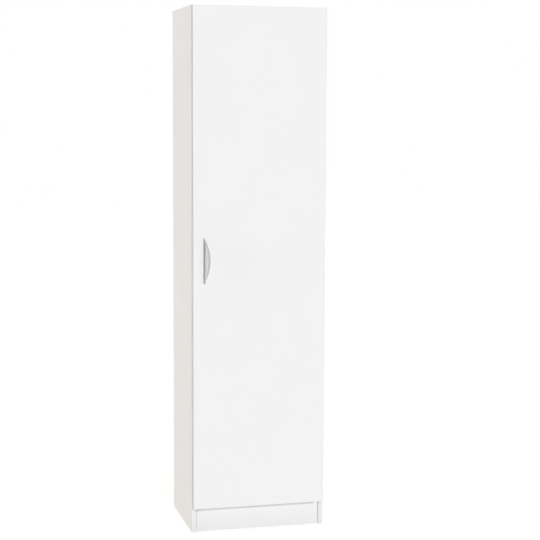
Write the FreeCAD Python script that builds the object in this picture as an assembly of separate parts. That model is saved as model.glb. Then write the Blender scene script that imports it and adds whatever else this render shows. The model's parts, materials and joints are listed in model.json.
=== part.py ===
"""Broom cupboard: a tall, narrow, white single-door cupboard that stands on its side panels.

Millimetres. X runs across the width, -Y is the front, +Z is up. The origin is at the middle
of the footprint, on the floor. The door is hinged at its right edge on four concealed hinges.
"""
import FreeCAD, Part
import os

V = FreeCAD.Vector

# Carcass
cabinet_height = 1800
cabinet_width = 470
carcass_depth = 341
board = 16
edging = 1
kick_height = 80
kick_recess = 10
top_compartment = 288
shelf_setback = 5

# Back
back_thickness = 3
back_rear_inset = 12
groove_depth = 6
groove_play = 0.3
back_side_play = 1
back_overhang = 10
back_joint_height = 900
joiner_web = 1.5
joiner_flange = 14
joiner_sheet = 1
joiner_side_play = 0.5
nail_radius = 0.8
nail_length = 20
nail_head_radius = 2.2
nail_head = 0.8
nails_per_board = 4
nail_side_distance = 45

# Door
door_thickness = 16
door_gap = 3
door_side_reveal = 3.5
door_top_reveal = 1.5
door_bottom = 86
bumper_radius = 4
bumper_clearance = 0.3
bumper_end_distance = 25

# Handle
handle_length = 160
handle_width = 24
handle_projection = 28
handle_face_length = 145
handle_face_width = 13
handle_wall = 2
handle_height = 945
handle_inset = 35.5
handle_hole_pitch = 96
handle_post_radius = 3.5
handle_post_setback = 6.5
handle_screw_radius = 2
handle_screw_bite = 12
handle_screw_head_radius = 4
handle_screw_head = 2.2

# Board joints
joint_front_distance = 50
joint_rear_distance = 50
joint_pitch = 32
cam_distance = 34
cam_radius = 7.45
cam_height = 12.2
cam_play = 0.15
cam_slot_length = 9
cam_slot_width = 1.4
cam_slot_depth = 2.2
bolt_thread_radius = 2.5
bolt_thread_length = 11
bolt_shank_radius = 3
bolt_collar_radius = 3.8
bolt_collar = 1.5
bolt_neck_radius = 1.75
bolt_neck_length = 6
bolt_head_radius = 3.3
bolt_head = 3
bolt_play = 0.5
dowel_radius = 4
dowel_length = 30
dowel_in_side = 10
dowel_end_play = 1
kick_dowel_pitch = 40

# Wall bracket
bracket_width = 40
bracket_leg = 30
bracket_sheet = 2
bracket_screw_pitch = 20
bracket_screw_setback = 12
bracket_screw_radius = 1.75
bracket_screw_length = 12
bracket_screw_head_radius = 3.4
bracket_screw_head = 1.8
wall_hole_radius = 2.75
wall_hole_drop = 17
wall_hole_play = 1.25

# Hinges
hinge_count = 4
hinge_end_distance = 100
cup_radius = 17.5
cup_depth = 11.5
cup_play = 0.1
cup_floor_play = 0.2
cup_edge_distance = 3
cup_wall = 0.8
cup_boss_wall = 0.9
flange = 1.2
flange_rim = 1
flange_ear_half_width = 6
cup_screw_offset = 9.5
cup_screw_half_pitch = 24
cup_screw_radius = 1.75
cup_screw_length = 11
cup_screw_head_radius = 3.4
cup_screw_head = 1
pin_radius = 1.25
pin_half_length = 8
eye_radius = 2.3
eye_bore_play = 0.05
eye_half_height = 3.7
eye_side_play = 0.3
eye_tip_play = 0.3
eye_floor_gap = 0.9
spring_half_height = 1.9
spring_wire = 0.4
spring_pin_play = 0.1
spring_leg_length = 6
lug_spring_play = 0.1
arm_sheet = 2
arm_height = 11.5
arm_front = 4
arm_length = 58
arm_half_width = 7.4
arm_plate_gap = 0.5
plate_sheet = 1.5
plate_line = 37
plate_wing_half_width = 6
plate_wing_half_length = 26
plate_front = 18
plate_length = 42
ridge_play = 0.2
ridge_end_inset = 2
plate_screw_half_pitch = 16
plate_screw_radius = 2.5
plate_screw_length = 11
plate_screw_head_radius = 4.2
plate_screw_head = 1.8
arm_screw_line = 50
arm_screw_radius = 1.9
arm_screw_bite = 6
arm_screw_head_radius = 3.5
arm_screw_head = 1.6
adjust_screw_line = 28
adjust_screw_radius = 2.4
adjust_screw_bite = 4
adjust_screw_proud = 0.4

# Places worked out from the sizes above
overall_depth = handle_projection + door_thickness + door_gap + carcass_depth
rear = overall_depth / 2
carcass_front = rear - carcass_depth
door_back = carcass_front - door_gap
door_front = door_back - door_thickness
board_front = carcass_front + edging
groove_front = rear - back_rear_inset - back_thickness
back_rear = groove_front + back_thickness

half_width = cabinet_width / 2
side_inner = half_width - board
top_under = cabinet_height - board
shelf_top = top_under - top_compartment
shelf_under = shelf_top - board
kick_front = carcass_front + kick_recess
shelf_front = board_front + shelf_setback

door_left = -half_width + door_side_reveal
door_right = half_width - door_side_reveal
door_top = cabinet_height - door_top_reveal

joint_front = carcass_front + joint_front_distance
joint_rear = groove_front - joint_rear_distance
cam_lines = (joint_front, joint_rear)
dowel_lines = (joint_front + joint_pitch, joint_rear - joint_pitch)
level_boards = (top_under, shelf_under, kick_height)

cup_x = door_right - cup_edge_distance - cup_radius
cup_outer = cup_radius - cup_play
cup_floor = door_back - cup_depth + cup_floor_play + cup_wall
pin_x = door_right - cup_edge_distance - cup_play - cup_boss_wall - eye_tip_play - eye_radius
pin_y = cup_floor + eye_floor_gap + eye_radius
flange_top = door_back + flange
arm_web = side_inner - arm_height
cup_screw_x = cup_x - cup_screw_offset

handle_front = door_front - handle_projection
handle_mouth = door_left + handle_inset
handle_post_x = handle_mouth + handle_post_setback
bracket_drop = top_under - wall_hole_drop


def box(x, y, z):
    """A block between the given pairs of limits."""
    low = V(min(x), min(y), min(z))
    high = V(max(x), max(y), max(z))
    size = high - low
    return Part.makeBox(size.x, size.y, size.z, low)


def rod(radius, start, end):
    """A round bar from one point to another."""
    axis = end - start
    return Part.makeCylinder(radius, axis.Length, start, axis)


def join(solids):
    """One solid made of several that touch."""
    whole = solids[0].fuse(list(solids[1:]))
    return whole.removeSplitter()


def group(solids):
    return Part.makeCompound(list(solids))


def spread(low, high, count):
    """Evenly spaced places from low to high, or the middle when there is only one."""
    if count == 1:
        return [(low + high) / 2]
    step = (high - low) / (count - 1)
    return [low + step * i for i in range(count)]


# Board joints: cam bolts screw into the sides, cam locks in the boards pull on their heads

def cam_places():
    """Side (-1 or 1), depth and board underside of every cam."""
    return [(side, y, under) for under in level_boards for y in cam_lines for side in (-1, 1)]


def cam_bolt(side, y, under):
    z = under + board / 2
    cam_x = side_inner - cam_distance

    def piece(radius, inner, outer):
        return rod(radius, V(side * inner, y, z), V(side * outer, y, z))

    neck_start = cam_x + bolt_head / 2
    neck_end = neck_start + bolt_neck_length
    return join([
        piece(bolt_thread_radius, side_inner - bolt_collar, side_inner + bolt_thread_length),
        piece(bolt_collar_radius, side_inner - bolt_collar, side_inner),
        piece(bolt_shank_radius, neck_end, side_inner - bolt_collar),
        piece(bolt_neck_radius, neck_start, neck_end),
        piece(bolt_head_radius, cam_x - bolt_head / 2, neck_start),
    ])


def cam_pocket(side, y, under):
    """What is drilled out of a board for one cam and its bolt."""
    z = under + board / 2
    cam_x = side * (side_inner - cam_distance)
    depth = cam_height + cam_play
    pocket = rod(cam_radius + cam_play, V(cam_x, y, under), V(cam_x, y, under + depth))
    bore = rod(bolt_collar_radius + cam_play, V(cam_x, y, z), V(side * side_inner, y, z))
    return pocket.fuse(bore)


def cam_lock(side, y, under):
    z = under + board / 2
    cam_x = side * (side_inner - cam_distance)
    body = rod(cam_radius, V(cam_x, y, under), V(cam_x, y, under + cam_height))
    head_room = bolt_head_radius + bolt_play
    head_half = bolt_head / 2 + bolt_play
    neck_room = bolt_neck_radius + bolt_play
    mouth = box((cam_x - head_half, cam_x + head_half), (y - head_room, y + 2 * cam_radius),
                (z - head_room, z + head_room))
    slot = box((cam_x, cam_x + side * 2 * cam_radius), (y - neck_room, y + neck_room),
               (z - neck_room, z + neck_room))
    half = cam_slot_length / 2
    thin = cam_slot_width / 2
    top = under + cam_slot_depth
    cross = box((cam_x - half, cam_x + half), (y - thin, y + thin), (under, top))
    cross = cross.fuse(box((cam_x - thin, cam_x + thin), (y - half, y + half), (under, top)))
    return body.cut([mouth, slot, cross])


def dowel_places():
    """Side, depth and height of every dowel."""
    level = [(side, y, under + board / 2)
             for under in level_boards for y in dowel_lines for side in (-1, 1)]
    kick_y = kick_front + board / 2
    kick = [(side, kick_y, kick_height / 2 + step * kick_dowel_pitch / 2)
            for step in (-1, 1) for side in (-1, 1)]
    return level + kick


def dowel(side, y, z, end_play=0):
    inner = side_inner + dowel_in_side - dowel_length - end_play
    outer = side_inner + dowel_in_side + end_play
    return rod(dowel_radius, V(side * inner, y, z), V(side * outer, y, z))


def dowel_holes():
    return [dowel(side, y, z, dowel_end_play) for side, y, z in dowel_places()]


# Boards of the carcass

def back_groove():
    """The groove that holds the back, run round the sides and the top."""
    play = groove_play
    return box((-side_inner - groove_depth, side_inner + groove_depth),
               (groove_front, back_rear + play), (0, top_under + groove_depth))


def nail_places():
    low = -side_inner + nail_side_distance
    across = spread(low, -low, nails_per_board)
    return [(x, under + board / 2) for under in (shelf_under, kick_height) for x in across]


def nail(x, z):
    tip = back_rear - nail_length
    shank = rod(nail_radius, V(x, tip, z), V(x, back_rear, z))
    head = rod(nail_head_radius, V(x, back_rear, z), V(x, back_rear + nail_head, z))
    return join([shank, head])


def side_panel(side):
    panel = box((side * side_inner, side * half_width), (board_front, rear), (0, cabinet_height))
    bolts = [cam_bolt(*place) for place in cam_places() if place[0] == side]
    holes = bolts + dowel_holes() + [back_groove()]
    if side == 1:
        holes += [plate_screw(z, end) for z in hinge_heights for end in (-1, 1)]
    return panel.cut(holes)


def side_edging(side):
    return box((side * side_inner, side * half_width), (carcass_front, board_front),
               (0, cabinet_height))


def level_board(under, front, back):
    panel = box((-side_inner, side_inner), (front, back), (under, under + board))
    pockets = [cam_pocket(*place) for place in cam_places() if place[2] == under]
    nails = [nail(x, z) for x, z in nail_places()]
    return panel.cut(pockets + dowel_holes() + nails)


def level_edging(under, front):
    return box((-side_inner, side_inner), (front - edging, front), (under, under + board))


def top_panel():
    screws = [bracket_screw(x) for x in bracket_screw_places()]
    return level_board(top_under, board_front, rear).cut([back_groove()] + screws)


def kickboard():
    panel = box((-side_inner, side_inner), (kick_front, kick_front + board), (0, kick_height))
    return panel.cut(dowel_holes())


# Back: two hardboard halves, held end to end by a plastic joiner

def back_half(low, high):
    reach = side_inner + groove_depth - back_side_play
    sheet = box((-reach, reach), (groove_front, back_rear), (low, high))
    nails = [nail(x, z) for x, z in nail_places()]
    wall_hole = rod(wall_hole_radius + wall_hole_play, V(0, groove_front, bracket_drop),
                    V(0, back_rear, bracket_drop))
    return sheet.cut(nails + [wall_hole])


def back_panel_lower():
    return back_half(kick_height - back_overhang, back_joint_height - joiner_web / 2)


def back_panel_upper():
    top = top_under + groove_depth - back_side_play
    return back_half(back_joint_height + joiner_web / 2, top)


def back_panel_joiner():
    reach = side_inner - joiner_side_play
    across = (-reach, reach)
    flanges = (back_joint_height - joiner_flange / 2, back_joint_height + joiner_flange / 2)
    web = (back_joint_height - joiner_web / 2, back_joint_height + joiner_web / 2)
    return join([
        box(across, (groove_front - joiner_sheet, groove_front), flanges),
        box(across, (groove_front, back_rear), web),
        box(across, (back_rear, back_rear + joiner_sheet), flanges),
    ])


# Bracket under the top panel, for the screw into the wall

def bracket_screw_places():
    return [-bracket_screw_pitch / 2, bracket_screw_pitch / 2]


def bracket_screw(x):
    y = groove_front - bracket_leg + bracket_screw_setback
    head_top = top_under - bracket_sheet
    shank = rod(bracket_screw_radius, V(x, y, head_top), V(x, y, top_under + bracket_screw_length))
    head = rod(bracket_screw_head_radius, V(x, y, head_top - bracket_screw_head),
               V(x, y, head_top))
    return join([shank, head])


def wall_bracket():
    across = (-bracket_width / 2, bracket_width / 2)
    leg_front = groove_front - bracket_sheet
    level = box(across, (groove_front - bracket_leg, groove_front),
                (top_under - bracket_sheet, top_under))
    upright = box(across, (leg_front, groove_front), (top_under - bracket_leg, top_under))
    wall_hole = rod(wall_hole_radius, V(0, leg_front, bracket_drop), V(0, groove_front, bracket_drop))
    screws = [bracket_screw(x) for x in bracket_screw_places()]
    return join([level, upright]).cut([wall_hole] + screws)


# Concealed hinges: a cup in the door holds a pin, and an arm from the side panel turns on it

hinge_heights = spread(door_bottom + hinge_end_distance, door_top - hinge_end_distance, hinge_count)


def upright_rod(radius, z, half, x=pin_x, y=pin_y):
    return rod(radius, V(x, y, z - half), V(x, y, z + half))


def hinge_cup(z):
    bottom = cup_floor - cup_wall
    body = rod(cup_outer, V(cup_x, bottom, z), V(cup_x, door_back, z))
    rim = rod(cup_outer + flange_rim, V(cup_x, door_back, z), V(cup_x, flange_top, z))
    ears = [rod(flange_ear_half_width, V(cup_screw_x, door_back, z + end * cup_screw_half_pitch),
                V(cup_screw_x, flange_top, z + end * cup_screw_half_pitch)) for end in (-1, 1)]
    bar = box((cup_screw_x - flange_ear_half_width, cup_screw_x + flange_ear_half_width),
              (door_back, flange_top), (z - cup_screw_half_pitch, z + cup_screw_half_pitch))
    boss_x = pin_x - eye_radius - eye_tip_play
    hollow = rod(cup_outer - cup_wall, V(cup_x, cup_floor, z), V(cup_x, flange_top, z))
    boss_side = box((boss_x, half_width), (cup_floor, flange_top), (z - cup_radius, z + cup_radius))
    half = eye_half_height + eye_side_play
    slot = box((boss_x - cup_wall, pin_x + eye_radius + eye_tip_play), (cup_floor, flange_top),
               (z - half, z + half))
    whole = join([body, rim, bar] + ears)
    screws = [cup_screw(z, end) for end in (-1, 1)]
    return whole.cut([hollow.cut(boss_side), slot, hinge_pin(z)] + screws)


def hinge_pin(z):
    return upright_rod(pin_radius, z, pin_half_length)


def cup_screw(z, end):
    height = z + end * cup_screw_half_pitch
    shank = rod(cup_screw_radius, V(cup_screw_x, door_back - cup_screw_length, height),
                V(cup_screw_x, flange_top, height))
    head = rod(cup_screw_head_radius, V(cup_screw_x, flange_top, height),
               V(cup_screw_x, flange_top + cup_screw_head, height))
    return join([shank, head])


def hinge_spring(z):
    """The closing spring: a coil round the pin, between the lugs of the arm, and one leg."""
    inner = pin_radius + spring_pin_play
    outer = inner + 2 * spring_wire
    coil = upright_rod(outer, z, spring_half_height)
    leg_y = pin_y - outer + spring_wire
    leg = rod(spring_wire, V(pin_x - eye_radius - spring_leg_length, leg_y, z), V(pin_x, leg_y, z))
    return join([coil, leg]).cut(upright_rod(inner, z, spring_half_height))


def hinge_arm(z):
    tall = (z - eye_half_height, z + eye_half_height)
    eye = upright_rod(eye_radius, z, eye_half_height)
    leg = box((arm_web, pin_x), (pin_y - arm_sheet / 2, pin_y + arm_sheet / 2), tall)
    neck = box((arm_web, arm_web + arm_sheet),
               (pin_y - arm_sheet / 2, carcass_front + arm_front + arm_sheet), tall)
    along = (carcass_front + arm_front, carcass_front + arm_front + arm_length)
    shell = box((arm_web, side_inner - plate_sheet - arm_plate_gap), along,
                (z - arm_half_width, z + arm_half_width))
    inside = arm_half_width - arm_sheet
    hollow = box((arm_web + arm_sheet, side_inner), along, (z - inside, z + inside))
    bore = upright_rod(pin_radius + eye_bore_play, z, eye_half_height)
    notch_half = spring_half_height + lug_spring_play
    notch = box((pin_x - eye_radius, pin_x + eye_radius), (pin_y - eye_radius, pin_y + eye_radius),
                (z - notch_half, z + notch_half))
    whole = join([eye, leg, neck, shell.cut(hollow)])
    return whole.cut([bore, notch, arm_screw(z), adjusting_screw(z)])


def hinge_plate(z):
    sheet = (side_inner - plate_sheet, side_inner)
    line = carcass_front + plate_line
    reach = plate_wing_half_length - plate_wing_half_width
    along = (carcass_front + plate_front, carcass_front + plate_front + plate_length)
    wing = box(sheet, (line - plate_wing_half_width, line + plate_wing_half_width),
               (z - reach, z + reach))
    ends = [rod(plate_wing_half_width, V(sheet[0], line, z + end * reach),
                V(sheet[1], line, z + end * reach)) for end in (-1, 1)]
    base = box(sheet, along, (z - arm_half_width, z + arm_half_width))
    half = arm_half_width - arm_sheet - ridge_play
    ridge = box((arm_web + arm_sheet, sheet[0]), (along[0] + ridge_end_inset, along[1] - ridge_end_inset),
                (z - half, z + half))
    whole = join([wing, base, ridge] + ends)
    screws = [plate_screw(z, end) for end in (-1, 1)]
    return whole.cut(screws + [arm_screw(z), adjusting_screw(z)])


def plate_screw(z, end):
    y = carcass_front + plate_line
    height = z + end * plate_screw_half_pitch
    seat = side_inner - plate_sheet
    shank = rod(plate_screw_radius, V(seat, y, height), V(side_inner + plate_screw_length, y, height))
    head = rod(plate_screw_head_radius, V(seat - plate_screw_head, y, height), V(seat, y, height))
    return join([shank, head])


def arm_screw(z):
    y = carcass_front + arm_screw_line
    tip = arm_web + arm_sheet + arm_screw_bite
    shank = rod(arm_screw_radius, V(arm_web, y, z), V(tip, y, z))
    head = rod(arm_screw_head_radius, V(arm_web - arm_screw_head, y, z), V(arm_web, y, z))
    return join([shank, head])


def adjusting_screw(z):
    y = carcass_front + adjust_screw_line
    tip = arm_web + arm_sheet + adjust_screw_bite
    return rod(adjust_screw_radius, V(arm_web - adjust_screw_proud, y, z), V(tip, y, z))


# Door

def door_edge_strips():
    """Four strips: the upright ones run the full height, the level ones lie between them."""
    deep = (door_front, door_back)
    tall = (door_bottom, door_top)
    inner = (door_left + edging, door_right - edging)
    return [
        box((door_left, door_left + edging), deep, tall),
        box((door_right - edging, door_right), deep, tall),
        box(inner, deep, (door_bottom, door_bottom + edging)),
        box(inner, deep, (door_top - edging, door_top)),
    ]


def door_panel():
    panel = box((door_left + edging, door_right - edging), (door_front, door_back),
                (door_bottom + edging, door_top - edging))
    pockets = [rod(cup_radius, V(cup_x, door_back - cup_depth, z), V(cup_x, door_back, z))
               for z in hinge_heights]
    screws = [cup_screw(z, end) for z in hinge_heights for end in (-1, 1)]
    handle_screws = [handle_screw(z) for z in handle_screw_heights()]
    return panel.cut(pockets + screws + handle_screws)


def bumper(z):
    """A soft stop on the door's inner face, over the edge of the left side panel."""
    x = -half_width + board / 2
    tip = carcass_front - bumper_clearance
    round_over = (tip - door_back) / 2
    pad = rod(bumper_radius, V(x, door_back, z), V(x, tip, z))
    outer_edge = [edge for edge in pad.Edges if edge.BoundBox.YMin > tip - round_over / 2]
    return pad.makeFillet(round_over, outer_edge)


# Handle: a half-moon shell, open towards the free edge of the door for the fingers

def half_moon(x, y, length, width):
    """A straight upright side at x, and an arc that bulges by width."""
    low = V(x, y, handle_height - length / 2)
    middle = V(x + width, y, handle_height)
    high = V(x, y, handle_height + length / 2)
    return Part.Wire([Part.Arc(low, middle, high).toShape(), Part.LineSegment(high, low).toShape()])


def handle_body():
    base = half_moon(handle_mouth, door_front, handle_length, handle_width)
    face = half_moon(handle_mouth, handle_front, handle_face_length, handle_face_width)
    return Part.makeLoft([base, face], True, True)


def handle_hollow():
    """The finger recess: the outer form drawn in by the wall, and run out past the open side."""
    past = handle_wall
    base = half_moon(handle_mouth - past, door_front, handle_length, handle_width)
    face = half_moon(handle_mouth - past, handle_front + handle_wall,
                     handle_face_length, handle_face_width)
    return Part.makeLoft([base, face], True, True)


def handle_screw_heights():
    return [handle_height + end * handle_hole_pitch / 2 for end in (-1, 1)]


def handle_post(z):
    end = V(handle_post_x, handle_front + handle_wall, z)
    return rod(handle_post_radius, V(handle_post_x, door_front, z), end)


def handle_screw(z):
    tip = door_front - handle_screw_bite
    shank = rod(handle_screw_radius, V(handle_post_x, tip, z), V(handle_post_x, door_back, z))
    head = rod(handle_screw_head_radius, V(handle_post_x, door_back, z),
               V(handle_post_x, door_back + handle_screw_head, z))
    return join([shank, head])


def handle():
    body = handle_body()
    shell = body.cut(handle_hollow())
    posts = [handle_post(z).common(body) for z in handle_screw_heights()]
    screws = [handle_screw(z) for z in handle_screw_heights()]
    return join([shell] + posts).cut(screws)


def build():
    nodes = {
        "left_side_panel": side_panel(-1),
        "right_side_panel": side_panel(1),
        "left_side_edging": side_edging(-1),
        "right_side_edging": side_edging(1),
        "top_panel": top_panel(),
        "top_edging": level_edging(top_under, board_front),
        "bottom_panel": level_board(kick_height, board_front, groove_front),
        "bottom_edging": level_edging(kick_height, board_front),
        "fixed_shelf": level_board(shelf_under, shelf_front, groove_front),
        "shelf_edging": level_edging(shelf_under, shelf_front),
        "kickboard": kickboard(),
        "back_panel_lower": back_panel_lower(),
        "back_panel_upper": back_panel_upper(),
        "back_panel_joiner": back_panel_joiner(),
        "back_panel_nails": group(nail(x, z) for x, z in nail_places()),
        "cam_bolts": group(cam_bolt(*place) for place in cam_places()),
        "cam_locks": group(cam_lock(*place) for place in cam_places()),
        "wood_dowels": group(dowel(*place) for place in dowel_places()),
        "wall_bracket": wall_bracket(),
        "wall_bracket_screws": group(bracket_screw(x) for x in bracket_screw_places()),
        "door_panel": door_panel(),
        "door_edging": group(door_edge_strips()),
        "door_bumpers": group(bumper(z) for z in (door_bottom + bumper_end_distance,
                                                  door_top - bumper_end_distance)),
        "handle": handle(),
        "handle_screws": group(handle_screw(z) for z in handle_screw_heights()),
    }
    ends = (-1, 1)
    nodes["hinge_pins"] = group(hinge_pin(z) for z in hinge_heights)
    nodes["hinge_springs"] = group(hinge_spring(z) for z in hinge_heights)
    nodes["hinge_cup_screws"] = group(cup_screw(z, end) for z in hinge_heights for end in ends)
    nodes["hinge_plate_screws"] = group(plate_screw(z, end) for z in hinge_heights for end in ends)
    nodes["hinge_arm_screws"] = group(arm_screw(z) for z in hinge_heights)
    nodes["hinge_adjusting_screws"] = group(adjusting_screw(z) for z in hinge_heights)
    for number, z in enumerate(hinge_heights, 1):
        nodes["hinge_cup_%d" % number] = hinge_cup(z)
        nodes["hinge_arm_%d" % number] = hinge_arm(z)
        nodes["hinge_plate_%d" % number] = hinge_plate(z)
    return nodes


os.makedirs("parts", exist_ok=True)
for name, shape in build().items():
    shape.exportStep("parts/%s.step" % name)
    print(name, len(shape.Solids), round(shape.Volume), shape.isValid())
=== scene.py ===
import bmesh
import bpy
import json
import math
from mathutils import Matrix, Vector


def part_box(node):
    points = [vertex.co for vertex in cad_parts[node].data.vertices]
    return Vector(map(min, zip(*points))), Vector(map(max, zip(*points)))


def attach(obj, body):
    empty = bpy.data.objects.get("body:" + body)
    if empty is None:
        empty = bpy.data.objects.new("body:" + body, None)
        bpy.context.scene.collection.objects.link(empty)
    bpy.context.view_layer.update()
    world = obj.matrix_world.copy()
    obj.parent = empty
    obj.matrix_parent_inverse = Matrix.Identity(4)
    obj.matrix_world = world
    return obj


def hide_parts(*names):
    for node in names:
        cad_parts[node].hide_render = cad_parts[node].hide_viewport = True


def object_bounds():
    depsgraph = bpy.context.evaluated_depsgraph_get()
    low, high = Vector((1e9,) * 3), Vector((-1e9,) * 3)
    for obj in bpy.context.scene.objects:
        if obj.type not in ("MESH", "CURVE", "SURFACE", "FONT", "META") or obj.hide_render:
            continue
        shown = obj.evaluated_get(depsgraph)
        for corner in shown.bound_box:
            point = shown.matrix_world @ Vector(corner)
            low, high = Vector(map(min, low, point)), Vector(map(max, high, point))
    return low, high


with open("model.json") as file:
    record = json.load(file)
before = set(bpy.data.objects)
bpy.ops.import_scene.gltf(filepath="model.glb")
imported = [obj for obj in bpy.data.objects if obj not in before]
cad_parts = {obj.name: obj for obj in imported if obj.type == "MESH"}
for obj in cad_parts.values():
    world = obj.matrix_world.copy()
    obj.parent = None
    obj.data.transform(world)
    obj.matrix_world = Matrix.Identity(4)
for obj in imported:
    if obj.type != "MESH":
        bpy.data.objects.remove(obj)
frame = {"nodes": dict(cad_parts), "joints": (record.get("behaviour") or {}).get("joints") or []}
CAD_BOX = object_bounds()
NODES = frame["nodes"]
MM = 0.001
X, Y, Z = Vector((1, 0, 0)), Vector((0, 1, 0)), Vector((0, 0, 1))

# The camera: place in metres, turn from +Y towards +X, tilt and roll in degrees, lens in mm, and
# how far it sees in metres
CAMERA_PLACE = Vector((-1.1433, -4.8124, 1.4544))
CAMERA_TURN = 14.23
CAMERA_TILT = -6.48
CAMERA_ROLL = 0.26
CAMERA_LENS = 94.03
CAMERA_SIGHT = 60.0

# Light: the even surroundings, then distant soft lamps as the direction in which they shine,
# strength, softness in degrees and colour. Only the soft box lights gloss, and only the other
# lamps light matt surfaces. Their distance only says where they stand.
SKY = 0.2
LAMPS = {
    "front_lamp": ((-0.03, 1.0, -0.1), 1.925, 12, (1.0, 1.0, 1.0)),
    "soft_box": ((-0.2, 1.0, 0.0), 0.36, 30, (1.0, 1.0, 1.0)),
    "left_lamp": ((1.0, 0.0, -0.2), 1.435, 30, (1.0, 0.955, 0.875)),
    "right_lamp": ((-1.0, -0.3, -0.2), 1.35, 30, (1.0, 1.0, 1.0)),
    "rear_lamp": ((0.0, -1.0, -0.2), 1.4, 30, (1.0, 1.0, 1.0)),
    "top_lamp": ((0.0, 0.05, -1.0), 1.0, 40, (1.0, 1.0, 1.0)),
}
LAMP_DISTANCE = 3.0

# The floor: two close tones for the light that it throws on the cupboard, then the matt share
# and the glow by which it is seen
FLOOR_SIZE = 30.0
FLOOR_TONES = (0.6, 0.6, 0.6), (0.62, 0.62, 0.62)
FLOOR_SEEN = 0.35
FLOOR_GLOW = 0.74

# Whites of the boards and of their edging
WHITE = (0.868, 0.868, 0.875)
KICK_WHITE = (0.877, 0.877, 0.884)
# Painted warm light: the sides' white is tinted warm for light from the left
SIDE_WHITE_WARM_LIT = (0.87, 0.868, 0.862)
BAND_WHITE = (0.852, 0.856, 0.86)
# Painted shade: the door's edging is darker for the shade along the door's edges beside the carcass
DOOR_BAND_SHADED_WHITE = (0.82, 0.815, 0.805)

# Painted shade in the corners: how far it reaches from a corner, the openness at which it is
# whole and gone, and the heights over the floor at which it begins and is whole
CORNER_LINE = 10 * MM
SHADED_AND_OPEN = (0.72, 0.93)
SHADE_FROM_FLOOR = (6 * MM, 16 * MM)

# Values that noise mostly lies between, and a narrower pair for more contrast
NOISE_RANGE = (0.3, 0.7)
NOISE_CORE = (0.35, 0.65)

# Softened edges, and the angles in degrees from which an edge counts as sharp
BOARD_ROUND = 0.35 * MM
HINGE_ROUND = 0.25 * MM
SHEET_ROUND = 0.3 * MM
CAM_ROUND = 0.2 * MM
BAND_ROUND = 0.8 * MM
HANDLE_ROUND = 0.45 * MM
CAD_SHARP = 40
HANDLE_SHARP = 50
SHADED_SHARP = 35

# Points nearer than this are joined: in the CAD's meshes, and in the pieces made here
CAD_SEAM = 0.002 * MM
SAME_POINT = 0.001 * MM

EDGE_BAND = 1.0 * MM
HINGES = range(1, 5)

HANDLE_WALL = 2.0 * MM
HANDLE_FACE_LENGTH = 145 * MM
HANDLE_FACE_WIDTH = 13 * MM
HANDLE_POST_RADIUS = 3.3 * MM
HANDLE_SHOULDER = 3.0 * MM
HANDLE_TIP = 0.25 * MM
HANDLE_SLIVER = 0.1 * MM
HANDLE_FLAT = math.radians(0.3)

SPRING_TURNS = 4.5
SPRING_RADIUS = 1.75 * MM
SPRING_WIRE = 0.38 * MM
SPRING_HALF_HEIGHT = 1.5 * MM
SPRING_STEPS = 20


# ---- node graphs for the materials

# Places of the Mix node's sockets, because their names repeat
MIX_NUMBERS = (2, 3)
MIX_COLOURS = (6, 7)
MIXED_COLOUR = 2


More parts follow.
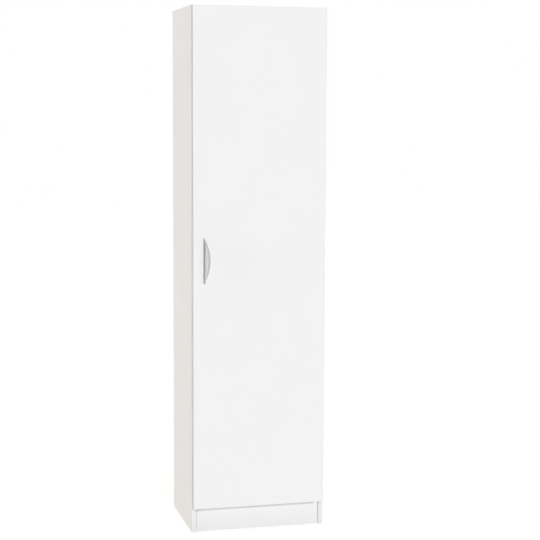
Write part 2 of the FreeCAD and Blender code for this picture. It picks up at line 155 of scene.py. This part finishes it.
class Graph:
    """The nodes of one material. Values may be numbers, colours or other nodes' outputs."""

    def __init__(self, name, **shader):
        self.material = bpy.data.materials.new(name)
        self.material.use_nodes = True
        self.tree = self.material.node_tree
        self.shader = self.tree.nodes["Principled BSDF"]
        for socket, value in shader.items():
            self.feed(self.shader.inputs[socket.replace("_", " ")], value)
        coordinates = self.add("TexCoord")
        self.place = coordinates.outputs["Object"]
        self.normal = coordinates.outputs["Normal"]

    def add(self, kind, **settings):
        node = self.tree.nodes.new("ShaderNode" + kind)
        for key, value in settings.items():
            setattr(node, key, value)
        return node

    def feed(self, socket, value):
        """Links an output to a socket or sets its value. A float fed to a colour is a grey."""
        if isinstance(value, bpy.types.NodeSocket):
            self.tree.links.new(value, socket)
        elif socket.type == "RGBA":
            colour = (value, value, value) if isinstance(value, float) else value
            socket.default_value = (*colour, 1.0)
        else:
            socket.default_value = value

    def calc(self, operation, *values):
        node = self.add("Math", operation=operation)
        for socket, value in zip(node.inputs, values):
            self.feed(socket, value)
        return node.outputs[0]

    def dot(self, vector, axis):
        node = self.add("VectorMath", operation="DOT_PRODUCT")
        self.feed(node.inputs[0], vector)
        self.feed(node.inputs[1], axis)
        return node.outputs["Value"]

    def facing(self, axis):
        """1 where the surface faces along the axis, and -1 where it faces the other way."""
        return self.dot(self.normal, axis)

    def along(self, axis):
        """How far a point lies along the axis, in metres."""
        return self.dot(self.place, axis)

    def stretched(self, scale):
        node = self.add("Mapping")
        self.feed(node.inputs["Vector"], self.place)
        self.feed(node.inputs["Scale"], scale)
        return node.outputs[0]

    def noise(self, scale, detail=2.0, rough=0.5, place=None):
        node = self.add("TexNoise")
        self.feed(node.inputs["Vector"], place or self.place)
        self.feed(node.inputs["Scale"], scale)
        self.feed(node.inputs["Detail"], detail)
        self.feed(node.inputs["Roughness"], rough)
        return node.outputs["Fac"]

    def chips(self, scale, channel):
        """One number from 0 to 1 for each cell of a broken pattern. Each channel has its own."""
        cells = self.add("TexVoronoi")
        self.feed(cells.inputs["Vector"], self.place)
        self.feed(cells.inputs["Scale"], scale)
        parts = self.add("SeparateColor")
        self.feed(parts.inputs[0], cells.outputs["Color"])
        return parts.outputs[channel]

    def spread(self, value, low, high, start=0.0, end=1.0):
        """value from start..end moved to low..high, held at the ends."""
        node = self.add("MapRange")
        for socket, number in zip(node.inputs, (value, start, end, low, high)):
            self.feed(socket, number)
        return node.outputs[0]

    def mix(self, amount, first, second, blend="MIX"):
        """Two colours mixed."""
        node = self.add("Mix", data_type="RGBA", blend_type=blend)
        self.feed(node.inputs[0], amount)
        for index, colour in zip(MIX_COLOURS, (first, second)):
            self.feed(node.inputs[index], colour)
        return node.outputs[MIXED_COLOUR]

    def mix_value(self, amount, low, high):
        """Two numbers mixed."""
        node = self.add("Mix", data_type="FLOAT")
        self.feed(node.inputs[0], amount)
        for index, number in zip(MIX_NUMBERS, (low, high)):
            self.feed(node.inputs[index], number)
        return node.outputs[0]

    def colour(self, value):
        self.feed(self.shader.inputs["Base Color"], value)

    def roughness(self, value):
        self.feed(self.shader.inputs["Roughness"], value)

    def bump(self, height, depth, strength):
        node = self.add("Bump")
        self.feed(node.inputs["Height"], height)
        self.feed(node.inputs["Distance"], depth)
        self.feed(node.inputs["Strength"], strength)
        self.feed(self.shader.inputs["Normal"], node.outputs[0])


def shaded(colour, share):
    return tuple(share * channel for channel in colour)


# ---- painted shade in the corners

def painted_corner_shade(g, clean, reach, dark):
    """Painted shade at the inner corners, but not where the cupboard meets the floor.

    dark is the share of the clean colour that the painted shade leaves.
    """
    # Ambient occlusion finds the corners and creases where shade falls, and shade is painted there
    corner = g.add("AmbientOcclusion", samples=12)
    g.feed(corner.inputs["Distance"], reach)
    is_open = g.spread(corner.outputs["AO"], 0, 1, *SHADED_AND_OPEN)
    near_floor = g.spread(g.along(Z), 1, 0, *SHADE_FROM_FLOOR)
    darkened = g.mix(1.0, clean, dark, "MULTIPLY")
    return g.mix(g.calc("MAXIMUM", is_open, near_floor), darkened, clean)


# No painted shade in the corners
def no_corner_shade(g, clean):
    return clean


# Painted shade at the inner corners of the boards
def board_corner_shade(g, clean):
    return painted_corner_shade(g, clean, CORNER_LINE, 0.85)


def kick_corner_shade(g, clean):
    """Painted shade at the kickboard's inner corners: widest over the top 7 mm, just below the door,
    and faint in the last 11 mm at the right.
    """
    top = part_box("kickboard")[1].z
    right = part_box("right_side_panel")[0].x
    reach = g.spread(g.along(Z), 6 * MM, 16 * MM, top - 14 * MM, top - 7 * MM)
    dark = g.spread(g.along(X), 0.58, 0.95, right - 19 * MM, right - 11 * MM)
    return painted_corner_shade(g, clean, reach, dark)


def band_corner_shade(g, clean):
    """Painted shade at the inner corners, darkest over the 10 mm just below the door as a painted
    shadow of the door.
    """
    half = 5 * MM
    below_door = g.calc("COMPARE", g.along(Z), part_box("door_edging")[0].z - half, half)
    return painted_corner_shade(g, clean, 2 * CORNER_LINE, g.mix_value(below_door, 0.85, 0.7))


# Faint painted shade at the inner corners of the door's edging
def door_band_corner_shade(g, clean):
    return painted_corner_shade(g, clean, 2 * CORNER_LINE, 0.95)


# ---- materials

def chipboard_colour(g):
    """Pale and dark wood chips, with finer dust pressed between them."""
    chip = g.mix(g.chips(520, "Red"), (0.34, 0.22, 0.115), (0.66, 0.5, 0.31))
    dust = g.mix(g.chips(1500, "Green"), (0.42, 0.29, 0.16), (0.6, 0.44, 0.27))
    return g.mix(g.spread(g.noise(160, 3), 0.1, 0.9, *NOISE_CORE), chip, dust)


def board(name, white, skin_axis, dust, white_above=None):
    """Melamine-faced chipboard: white skins across an axis, and bare chipboard on other faces.

    Above the height white_above every face is white. The dust argument paints shade into the white
    skins at their inner corners.
    """
    g = Graph(name, Specular_IOR_Level=0.5)
    skin = g.mix(g.spread(g.noise(2.2), 0.985, 1.0, *NOISE_RANGE), shaded(white, 0.94), white)
    skinned = g.spread(g.calc("ABSOLUTE", g.facing(skin_axis)), 0, 1, 0.55, 0.6)
    if white_above is not None:
        skinned = g.calc("MAXIMUM", skinned, g.calc("GREATER_THAN", g.along(Z), white_above))
    # The white skins take painted shade at their inner corners
    g.colour(g.mix(skinned, chipboard_colour(g), dust(g, skin)))
    peel = g.noise(1100, 2, 0.6)
    smears = g.noise(14, 4, 0.6, g.stretched((1, 1, 0.35)))
    g.roughness(g.mix_value(skinned, 0.85, g.spread(smears, 0.42, 0.52, *NOISE_RANGE)))
    g.bump(peel, g.mix_value(skinned, 0.25 * MM, 0.012 * MM), 0.6)
    return g.material


def plastic_band(name, white, dust, arris_shade=1.0):
    """Edging strip: smooth ABS with faint lines along it. Below 1, the last argument greys its arrises
    as a painted shade line, and the dust argument paints shade at its inner corners.
    """
    g = Graph(name, Specular_IOR_Level=0.5)
    lines = g.noise(900, place=g.stretched((1, 1, 0.01)))
    tone = g.mix(g.spread(g.noise(9), 0, 1, *NOISE_CORE), shaded(white, 0.975), white)
    if arris_shade < 1:
        # A rounded arris faces neither along Y nor straight across it
        arris = g.calc("COMPARE", g.calc("ABSOLUTE", g.facing(Y)), 0.6, 0.32)
        # Painted shade: the arrises are greyed to a dark line
        tone = g.mix(arris, tone, shaded(white, arris_shade))
    g.colour(dust(g, tone))
    g.roughness(g.spread(lines, 0.3, 0.4, *NOISE_RANGE))
    g.bump(lines, 0.01 * MM, 0.5)
    return g.material


def moulded_plastic(name, colour):
    g = Graph(name)
    g.colour(g.mix(g.noise(40, 3), shaded(colour, 0.94), colour))
    grain = g.noise(1800, 3, 0.6)
    g.roughness(g.spread(grain, 0.39, 0.51, *NOISE_RANGE))
    g.bump(grain, 0.03 * MM, 0.4)
    return g.material


def clear_plastic(name):
    """Soft clear polyurethane."""
    g = Graph(name, IOR=1.46, Transmission_Weight=0.75)
    g.colour(g.mix(g.noise(300), (0.9, 0.92, 0.92), (0.97, 0.98, 0.98)))
    g.roughness(g.spread(g.noise(700), 0.18, 0.3))
    return g.material


def hardboard(name):
    """White lacquer on the face towards the cupboard, brown pressed fibre on the other faces."""
    g = Graph(name, Specular_IOR_Level=0.4)
    fibre = g.noise(260, 6, 0.75, g.stretched((1, 1, 3)))
    strands = g.noise(75, 5, 0.7, g.stretched((3, 1, 1)))
    brown = g.mix(g.spread(fibre, 0, 1, *NOISE_CORE), (0.165, 0.088, 0.042), (0.33, 0.195, 0.1))
    brown = g.mix(g.spread(strands, 0, 0.5, 0.5, 0.75), brown, (0.42, 0.27, 0.15))
    lacquer = g.mix(g.noise(3), (0.8, 0.8, 0.785), (0.83, 0.83, 0.82))
    inside = g.spread(g.facing(-Y), 0, 1, 0.4, 0.6)
    g.colour(g.mix(inside, brown, lacquer))
    g.roughness(g.mix_value(inside, g.spread(fibre, 0.6, 0.85), 0.5))
    g.bump(fibre, g.mix_value(inside, 0.12 * MM, 0.02 * MM), 0.7)
    return g.material


def plated_metal(name, colour, rough, grain=2600.0, depth=0.002 * MM):
    """Plated or cast metal with a fine grain and faint clouding."""
    g = Graph(name, Metallic=1.0)
    cloud = g.noise(38, 3)
    g.colour(g.mix(g.spread(cloud, 0, 1, *NOISE_CORE), shaded(colour, 0.95), colour))
    fine = g.noise(grain)
    grained = g.spread(fine, rough - 0.03, rough + 0.03, *NOISE_RANGE)
    g.roughness(g.calc("ADD", grained, g.spread(cloud, 0.0, 0.06, 0.4, 0.8)))
    g.bump(fine, depth, 0.5)
    return g.material


def satin_lacquer(name):
    """Silver-grey lacquer with fine metal flake, slightly uneven."""
    g = Graph(name, Metallic=0.75)
    flake = g.noise(5200, 1)
    base = g.mix(g.spread(flake, 0, 1, *NOISE_CORE), (0.5, 0.5, 0.51), (0.6, 0.6, 0.605))
    cloud = g.spread(g.noise(30, 3), 0, 0.25, 0.4, 0.7)
    g.colour(g.mix(cloud, base, (0.65, 0.65, 0.655)))
    g.roughness(g.spread(flake, 0.36, 0.46, *NOISE_RANGE))
    g.bump(g.noise(1400), 0.015 * MM, 0.4)
    return g.material


def beech(name):
    """Turned dowel: pale grain along X with short dark flecks."""
    g = Graph(name, Roughness=0.7)
    grain = g.noise(900, 4, 0.6, g.stretched((0.06, 1, 1)))
    fleck = g.noise(2500, place=g.stretched((0.12, 1, 1)))
    wood = g.mix(g.spread(grain, 0, 1, *NOISE_RANGE), (0.5, 0.31, 0.165), (0.68, 0.49, 0.3))
    g.colour(g.mix(g.spread(fleck, 0, 0.6, 0.62, 0.7), wood, (0.3, 0.17, 0.08)))
    g.bump(grain, 0.08 * MM, 0.6)
    return g.material


MATERIALS = {
    "side": board("white_board_sides", SIDE_WHITE_WARM_LIT, X, board_corner_shade, CAD_BOX[1].z - 0.5 * MM),
    "level": board("white_board_levels", WHITE, Z, board_corner_shade),
    "kick": board("white_board_kickboard", KICK_WHITE, Y, kick_corner_shade),
    "door": board("white_board_door", WHITE, Y, no_corner_shade),
    "band": plastic_band("white_edging", BAND_WHITE, band_corner_shade, arris_shade=0.6),
    "door_band": plastic_band("white_door_edging", DOOR_BAND_SHADED_WHITE, door_band_corner_shade),
    "back": hardboard("hardboard"),
    "joiner": moulded_plastic("white_plastic", (0.8, 0.8, 0.79)),
    "bumper": clear_plastic("clear_bumper"),
    "dowel": beech("beech"),
    "handle": satin_lacquer("handle_grey"),
    "screw": plated_metal("zinc_plated_steel", (0.62, 0.64, 0.67), 0.32),
    "cam": plated_metal("zinc_casting", (0.42, 0.43, 0.45), 0.48, 1400.0, 0.012 * MM),
    "hinge": plated_metal("nickel_plated_steel", (0.66, 0.64, 0.6), 0.24),
}


# ---- finish of the CAD nodes

def dress(material, *names):
    for name in names:
        for slot in NODES[name].material_slots:
            slot.material = MATERIALS[material]


def rounded(obj, width, segments, sharper_than, slide=True):
    """A bevel that keeps its width everywhere. sharper_than is in degrees.

    With slide its new points stay on the old edges, which spoils it on long thin triangles.
    """
    bevel = obj.modifiers.new("softened", "BEVEL")
    bevel.width = width
    bevel.segments = segments
    bevel.limit_method = "ANGLE"
    bevel.angle_limit = math.radians(sharper_than)
    bevel.use_clamp_overlap = False
    bevel.loop_slide = slide
    bevel.harden_normals = True


def soften(width, *names, segments=2):
    """Rounds the sharp edges of CAD nodes, after joining the separate borders of their faces."""
    for name in names:
        joined = NODES[name].modifiers.new("joined", "WELD")
        joined.merge_threshold = CAD_SEAM
        rounded(NODES[name], width, segments, CAD_SHARP, slide=False)


SIDES = ("left_side_panel", "right_side_panel")
LEVELS = ("top_panel", "bottom_panel", "fixed_shelf")
HINGE_PARTS = [part % n for n in HINGES for part in ("hinge_cup_%d", "hinge_arm_%d", "hinge_plate_%d")]

dress("side", *SIDES)
dress("level", *LEVELS)
dress("kick", "kickboard")
dress("door", "door_panel")
dress("back", "back_panel_lower", "back_panel_upper")
dress("joiner", "back_panel_joiner")
dress("bumper", "door_bumpers")
dress("dowel", "wood_dowels")
dress("cam", "cam_locks")
dress("screw", "cam_bolts", "wall_bracket", "hinge_pins", "back_panel_nails")
dress("hinge", *HINGE_PARTS)
soften(BOARD_ROUND, *SIDES, *LEVELS, "kickboard", segments=3)
soften(HINGE_ROUND, *HINGE_PARTS)
soften(SHEET_ROUND, "back_panel_joiner", "wall_bracket")
soften(CAM_ROUND, "cam_locks")


# ---- mesh helpers

def added(name, data):
    """A new object in the scene."""
    obj = bpy.data.objects.new(name, data)
    bpy.context.scene.collection.objects.link(obj)
    return obj


def mesh_of(name, bm):
    """A mesh from a bmesh, which is used up."""
    mesh = bpy.data.meshes.new(name)
    bm.to_mesh(mesh)
    bm.free()
    return mesh


def solids(node):
    """Low and high corners of each separate solid in a CAD node, from the lowest up.

    Points of its mesh that agree to the micrometre are one point.
    """
    mesh = NODES[node].data
    key = [tuple(round(c, 6) for c in v.co) for v in mesh.vertices]
    parent = {k: k for k in key}

    def root(k):
        while parent[k] != k:
            parent[k] = parent[parent[k]]
            k = parent[k]
        return k

    for edge in mesh.edges:
        a, b = (root(key[i]) for i in edge.vertices)
        parent[a] = b
    groups = {}
    for k in parent:
        groups.setdefault(root(k), []).append(k)
    boxes = []
    for points in groups.values():
        low = Vector([min(p[i] for p in points) for i in range(3)])
        high = Vector([max(p[i] for p in points) for i in range(3)])
        boxes.append((low, high))
    return sorted(boxes, key=lambda b: (round(b[0].z, 4), round(b[0].x, 4), b[0].y))


def longest_axis(vector):
    return max(range(3), key=lambda i: abs(vector[i]))


def piece(name, bm, material, body, node):
    """A new object from a bmesh, riding on a body and standing for a CAD node."""
    bmesh.ops.remove_doubles(bm, verts=bm.verts, dist=SAME_POINT)
    bmesh.ops.recalc_face_normals(bm, faces=bm.faces)
    obj = added(name, mesh_of(name, bm))
    obj.data.materials.append(MATERIALS[material])
    obj.data.shade_smooth()
    obj.data.set_sharp_from_angle(angle=math.radians(SHADED_SHARP))
    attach(obj, body)
    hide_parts(node)
    return obj


def ring_mesh(rows):
    """A closed form through rows of points, each row one ring."""
    bm = bmesh.new()
    rings = [[bm.verts.new(point) for point in row] for row in rows]
    for low, high in zip(rings, rings[1:]):
        for i in range(len(low)):
            j = (i + 1) % len(low)
            bm.faces.new((low[i], low[j], high[j], high[i]))
    bm.faces.new(reversed(rings[0]))
    bm.faces.new(rings[-1])
    return bm


def lathe(profile, segments=32):
    """Turns (radius, height) points about Z, closed at both ends."""
    angles = [2 * math.pi * i / segments for i in range(segments)]
    return ring_mesh([[Vector((radius * math.cos(a), radius * math.sin(a), height)) for a in angles]
                      for radius, height in profile])


def box_mesh(bm, low, high):
    """Adds a box to a bmesh and returns its corners."""
    matrix = Matrix.Translation((low + high) / 2) @ Matrix.Diagonal((*(high - low), 1))
    return bmesh.ops.create_cube(bm, size=1, matrix=matrix)["verts"]


def carve(base, *cutters, operation="DIFFERENCE"):
    """base with the cutters taken out, added or kept in common, all bmeshes. They are used up."""
    result = object_of(base)
    for cutter in cutters:
        tool = object_of(cutter)
        modifier = result.modifiers.new("carve", "BOOLEAN")
        modifier.object = tool
        modifier.operation = operation
        modifier.solver = "EXACT"
        settled = settled_mesh(result)
        result.modifiers.clear()
        result.data = settled
        bpy.data.objects.remove(tool)
    out = bmesh.new()
    out.from_mesh(result.data)
    bpy.data.objects.remove(result)
    return out


def object_of(bm):
    """A working object from a bmesh, which is used up."""
    bmesh.ops.recalc_face_normals(bm, faces=bm.faces)
    return added("work", mesh_of("work", bm))


def settled_mesh(obj):
    """The object's mesh with its modifiers or its curve worked out."""
    bpy.context.view_layer.update()
    graph = bpy.context.evaluated_depsgraph_get()
    return bpy.data.meshes.new_from_object(obj.evaluated_get(graph))


def together(meshes):
    """One bmesh from meshes, which are used up."""
    bm = bmesh.new()
    for mesh in meshes:
        bm.from_mesh(mesh)
        bpy.data.meshes.remove(mesh)
    return bm


def copies(one, matrices):
    """A bmesh with a copy of one at each matrix. one is used up."""
    meshes = []
    for matrix in matrices:
        mesh = bpy.data.meshes.new("copy")
        one.to_mesh(mesh)
        mesh.transform(matrix)
        meshes.append(mesh)
    one.free()
    return together(meshes)


# ---- edging strips, with the arrises of their outer face rounded

def strip_mesh(low, high, outward):
    """The mesh of one strip. outward is the way its outer face looks.

    Each strip has its own bmesh, because a bevelled one adds new faces in a chance order.
    """
    bm = bmesh.new()
    verts = box_mesh(bm, low, high)
    size = high - low
    middle = (low + high) / 2
    length = longest_axis(size)
    face = [v for v in verts if (v.co - middle).dot(outward) > 0]

    def is_long(edge):
        a, b = edge.verts
        return a in face and b in face and abs((a.co - b.co)[length]) > size[length] / 2

    arrises = [edge for edge in bm.edges if is_long(edge)]
    bmesh.ops.bevel(bm, geom=arrises, offset=min(BAND_ROUND, 0.85 * min(size)), segments=4,
                    profile=0.5, affect="EDGES")
    return mesh_of("strip", bm)


def band_piece(name, node, body, strips, material):
    bm = together([strip_mesh(*strip) for strip in strips])
    piece(name, bm, material, body, node)


def door_strips():
    """Upright strips over the full height, level strips between them."""
    low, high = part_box("door_edging")
    band = EDGE_BAND
    return [
        (low, Vector((low.x + band, high.y, high.z)), -X),
        (Vector((high.x - band, low.y, low.z)), high, X),
        (Vector((low.x + band, low.y, low.z)), Vector((high.x - band, high.y, low.z + band)), -Z),
        (Vector((low.x + band, low.y, high.z - band)), Vector((high.x - band, high.y, high.z)), Z),
    ]


for place in ("left_side", "right_side", "top", "bottom", "shelf"):
    node = place + "_edging"
    band_piece(place + "_edge_band", node, "carcass", [(*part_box(node), -Y)], "band")
band_piece("door_edge_band", "door_edging", "door", door_strips(), "door_band")


# ---- screws

def head_profile(shank, head, head_height, length, dome):
    """Tip at the bottom, head at the top. dome is how much of the head is rounded."""
    tip, taper, flat = 0.15 * shank, 1.6 * shank, 0.3 * head
    points = [(tip, -length), (shank, -length + taper), (shank, 0.0)]
    points += [(head, 0.0), (head, head_height * (1 - dome))]
    for i in range(1, 6):
        a = math.pi / 2 * i / 6
        drawn_in = 0.45 * (1 - math.cos(a))
        points.append((head * (1 - drawn_in), head_height * (1 - dome + dome * math.sin(a))))
    return points + [(flat, head_height)]


def cross_cutters(head, top, depth):
    """The two bars of a cross recess, narrower at the bottom."""
    half, thin, narrowed = 0.55 * head, 0.13 * head, 0.45
    above = 2 * MM
    cutters = []
    for turn in (0, math.pi / 2):
        bm = bmesh.new()
        verts = box_mesh(bm, Vector((-half, -thin, top - depth)), Vector((half, thin, top + above)))
        for v in verts:
            if v.co.z < top:
                v.co.x *= narrowed
        bmesh.ops.rotate(bm, verts=bm.verts, matrix=Matrix.Rotation(turn, 3, "Z"))
        cutters.append(bm)
    return cutters


def screws(name, node, body, towards, head_height, shank, head, dome=0.7, recess=1.3 * MM):
    """Screws at the solids of a CAD node. towards is the way their heads face."""
    places = solids(node)
    axis = longest_axis(towards)
    low, high = places[0]
    length = (high - low)[axis] - head_height
    one = carve(lathe(head_profile(shank, head, head_height, length, dome)),
                *cross_cutters(head, head_height, recess))
    turn = Z.rotation_difference(towards).to_matrix().to_4x4()
    matrices = []
    for index, (low, high) in enumerate(places):
        seat = (low + high) / 2
        end = high if towards[axis] > 0 else low
        seat[axis] = end[axis] - towards[axis] * head_height
        twist = Matrix.Rotation(0.7 * index + 0.3, 4, "Z")
        matrices.append(Matrix.Translation(seat) @ turn @ twist)
    piece(name, copies(one, matrices), "screw", body, node)


screws("euro_screws", "hinge_plate_screws", "carcass", -X, 1.8 * MM, 2.5 * MM, 4.2 * MM)
screws("arm_fixing_screws", "hinge_arm_screws", "carcass", -X, 1.6 * MM, 1.9 * MM, 3.5 * MM)
screws("cup_fixing_screws", "hinge_cup_screws", "door", Y, 1.0 * MM, 1.75 * MM, 3.4 * MM,
       dome=0.6, recess=0.9 * MM)
screws("bracket_fixing_screws", "wall_bracket_screws", "carcass", -Z, 1.8 * MM, 1.75 * MM, 3.4 * MM)
screws("handle_fixing_screws", "handle_screws", "door", Y, 2.2 * MM, 2.0 * MM, 4.0 * MM)
screws("adjusting_set_screws", "hinge_adjusting_screws", "carcass", -X, 0.4 * MM, 2.4 * MM, 2.39 * MM,
       dome=0.5, recess=1.0 * MM)


# ---- closing springs round the hinge pins

def spring_line(leg_end, centre, middle):
    """Points of one spring: the end of its leg, then the turns about an upright pin."""
    points = [Vector((leg_end, centre[1] - SPRING_RADIUS, middle - SPRING_HALF_HEIGHT))]
    steps = SPRING_TURNS * SPRING_STEPS
    for i in range(int(steps) + 1):
        a = -math.pi / 2 + 2 * math.pi * i / SPRING_STEPS
        rise = 2 * SPRING_HALF_HEIGHT * (i / steps - 0.5)
        points.append(Vector((centre[0] + SPRING_RADIUS * math.cos(a),
                              centre[1] + SPRING_RADIUS * math.sin(a), middle + rise)))
    return points


def closing_springs():
    """Tight coils round the pins, each with a leg that lies under the arm."""
    curve = bpy.data.curves.new("closing_springs", "CURVE")
    curve.dimensions = "3D"
    curve.bevel_depth = SPRING_WIRE
    curve.bevel_resolution = 3
    curve.use_fill_caps = True
    for low, high in solids("hinge_springs"):
        points = spring_line(low.x, frame["joints"][0]["pos_m"], (low.z + high.z) / 2)
        spline = curve.splines.new("POLY")
        spline.points.add(len(points) - 1)
        for target, point in zip(spline.points, points):
            target.co = (*point, 1)
    shape = added("closing_springs_line", curve)
    bm = bmesh.new()
    bm.from_mesh(settled_mesh(shape))
    bpy.data.objects.remove(shape)
    piece("closing_springs", bm, "screw", "carcass", "hinge_springs")


closing_springs()


# ---- handle: a half-moon shell with an open side for the fingers

def arc(x, length, width, steps=48):
    """(x, z) points of an arc over an upright chord at x, from its foot to its head."""
    half = length / 2
    radius = (half * half + width * width) / (2 * width)
    reach = math.asin(half / radius)
    return [(x + width - radius + radius * math.cos(a), radius * math.sin(a))
            for a in (reach * (2 * i / steps - 1) for i in range(steps + 1))]


def narrower(length, width, wall):
    """Length and width of the arc that lies a wall nearer to the same chord, with the same radius."""
    radius = (length * length / 4 + width * width) / (2 * width)
    inner = width - wall
    return 2 * math.sqrt(radius * radius - (radius - inner) ** 2), inner


def curved_wall(low, high, inset):
    """(foot, brow) points of the handle's curved wall from end to end, inset from its outer skin."""
    middle = (low.z + high.z) / 2
    base = arc(low.x, *narrower(high.z - low.z, high.x - low.x, inset))
    face = arc(low.x, *narrower(HANDLE_FACE_LENGTH, HANDLE_FACE_WIDTH, inset))
    return [(Vector((xb, high.y, middle + zb)), Vector((xf, low.y + inset, middle + zf)))
            for (xb, zb), (xf, zf) in zip(base, face)]


def shouldered(lip, brow, foot):
    """Points of the rounded edge between the handle's face and its curved wall."""
    most = 0.45
    # At the handle's tips the lip and the brow meet
    run_in = brow.lerp(lip, min(most, HANDLE_SHOULDER / max((brow - lip).length, MM)))
    run_out = brow.lerp(foot, min(most, HANDLE_SHOULDER / (brow - foot).length))
    return [run_in.lerp(brow, t).lerp(brow.lerp(run_out, t), t) for t in (0, 0.25, 0.5, 0.75, 1)]


def handle_core(low, high):
    """The space inside the handle to the middle of its wall, and on past the door and its open side."""
    rows = []
    for foot, brow in curved_wall(low, high, HANDLE_WALL / 2):
        outside = foot + HANDLE_WALL * Y
        mouth_back, mouth_front = outside.copy(), brow.copy()
        mouth_back.x = mouth_front.x = low.x - HANDLE_WALL
        rows.append([mouth_back, mouth_front, brow, foot, outside])
    return ring_mesh(rows)


def handle_posts(low, high):
    """Screw posts from the door to inside the wall of the handle's shell."""
    turn = Z.rotation_difference(-Y).to_matrix().to_4x4()
    posts = []
    for screw_low, screw_high in solids("handle_screws"):
        place = (screw_low + screw_high) / 2
        place.y = high.y
        post = lathe([(HANDLE_POST_RADIUS, 0), (HANDLE_POST_RADIUS, high.y - low.y)])
        bmesh.ops.transform(post, verts=post.verts, matrix=Matrix.Translation(place) @ turn)
        posts.append(carve(post, handle_core(low, high), operation="INTERSECT"))
    return posts


def handle():
    """The shell and its posts as one form, with the shell's tips drawn to a point."""
    low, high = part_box("handle")
    outer = curved_wall(low, high, 0)
    inner = curved_wall(low, high, HANDLE_WALL)
    rows = []
    for (foot, brow), (inner_foot, inner_brow) in zip(outer, inner):
        lip, inner_lip = brow.copy(), inner_brow.copy()
        lip.x = inner_lip.x = low.x
        rows.append([inner_lip, lip, *shouldered(lip, brow, foot), foot, inner_foot, inner_brow])
    shell = ring_mesh(rows)
    bmesh.ops.remove_doubles(shell, verts=shell.verts, dist=HANDLE_TIP)
    shell = carve(shell, *handle_posts(low, high), operation="UNION")
    bmesh.ops.dissolve_limit(shell, angle_limit=HANDLE_FLAT, verts=shell.verts, edges=shell.edges)
    bmesh.ops.dissolve_degenerate(shell, edges=shell.edges, dist=HANDLE_SLIVER)
    made = piece("handle_shell", shell, "handle", "door", "handle")
    rounded(made, HANDLE_ROUND, 3, HANDLE_SHARP)


handle()


# ---- stage

def camera():
    data = bpy.data.cameras.new("camera")
    data.lens = CAMERA_LENS
    data.clip_end = CAMERA_SIGHT
    turn, tilt, roll = (math.radians(a) for a in (CAMERA_TURN, CAMERA_TILT, CAMERA_ROLL))
    ahead = Vector((math.sin(turn) * math.cos(tilt), math.cos(turn) * math.cos(tilt), math.sin(tilt)))
    right = Vector((math.cos(turn), -math.sin(turn), 0))
    up = right.cross(ahead)
    side = right * math.cos(roll) + up * math.sin(roll)
    top = up * math.cos(roll) - right * math.sin(roll)
    turned = Matrix((side, top, -ahead)).transposed().to_4x4()
    obj = added("camera", data)
    obj.matrix_world = Matrix.Translation(CAMERA_PLACE) @ turned
    bpy.context.scene.camera = obj


def distant_lamp(name, direction, strength, softness, tint):
    data = bpy.data.lights.new(name, "SUN")
    data.energy = strength
    data.angle = math.radians(softness)
    data.color = tint
    in_gloss = name == "soft_box"
    obj = added(name, data)
    obj.location = -LAMP_DISTANCE * Vector(direction)
    obj.visible_glossy = in_gloss
    obj.visible_diffuse = not in_gloss
    obj.rotation_mode = "QUATERNION"
    obj.rotation_quaternion = Vector(direction).to_track_quat("-Z", "Y")


def seen_directly(tree):
    """1 for what the camera sees, also in gloss and through clear plastic, and 0 for other light."""
    path = tree.nodes.new("ShaderNodeLightPath")
    seen = path.outputs["Is Camera Ray"]
    for ray in ("Is Glossy Ray", "Is Transmission Ray"):
        either = tree.nodes.new("ShaderNodeMath")
        either.operation = "MAXIMUM"
        tree.links.new(seen, either.inputs[0])
        tree.links.new(path.outputs[ray], either.inputs[1])
        seen = either.outputs[0]
    return seen


def split_by_view(tree, unseen, seen, output):
    """Shades with one shader where something is seen, and with another for the light it throws."""
    choose = tree.nodes.new("ShaderNodeMixShader")
    sources = (seen_directly(tree), unseen.outputs[0], seen.outputs[0])
    for socket, source in zip(choose.inputs, sources):
        tree.links.new(source, socket)
    tree.links.new(choose.outputs[0], tree.nodes[output].inputs["Surface"])


def surroundings():
    """White where they are seen, and a dim even light everywhere else."""
    world = bpy.data.worlds.new("surroundings")
    world.use_nodes = True
    tree = world.node_tree
    light = tree.nodes["Background"]
    backdrop = tree.nodes.new("ShaderNodeBackground")
    for background, strength in ((light, SKY), (backdrop, 1.0)):
        background.inputs["Color"].default_value = (1, 1, 1, 1)
        background.inputs["Strength"].default_value = strength
    split_by_view(tree, light, backdrop, "World Output")
    bpy.context.scene.world = world


def floor():
    """Matt, with a glow where it is seen, so that it is nearly white and takes a faint shadow."""
    bm = bmesh.new()
    bmesh.ops.create_grid(bm, x_segments=1, y_segments=1, size=FLOOR_SIZE / 2)
    obj = added("floor", mesh_of("floor", bm))
    g = Graph("floor_white", Roughness=0.9, Specular_IOR_Level=0.0)
    g.colour(g.mix(g.noise(3), *FLOOR_TONES))
    matt = g.add("BsdfDiffuse")
    g.feed(matt.inputs["Color"], FLOOR_SEEN)
    glow = g.add("Emission")
    g.feed(glow.inputs["Strength"], FLOOR_GLOW)
    both = g.add("AddShader")
    g.feed(both.inputs[0], matt.outputs[0])
    g.feed(both.inputs[1], glow.outputs[0])
    split_by_view(g.tree, g.shader, both, "Material Output")
    obj.data.materials.append(g.material)


camera()
surroundings()
floor()
for lamp, settings in LAMPS.items():
    distant_lamp(lamp, *settings)
bpy.context.scene.view_settings.view_transform = "Standard"
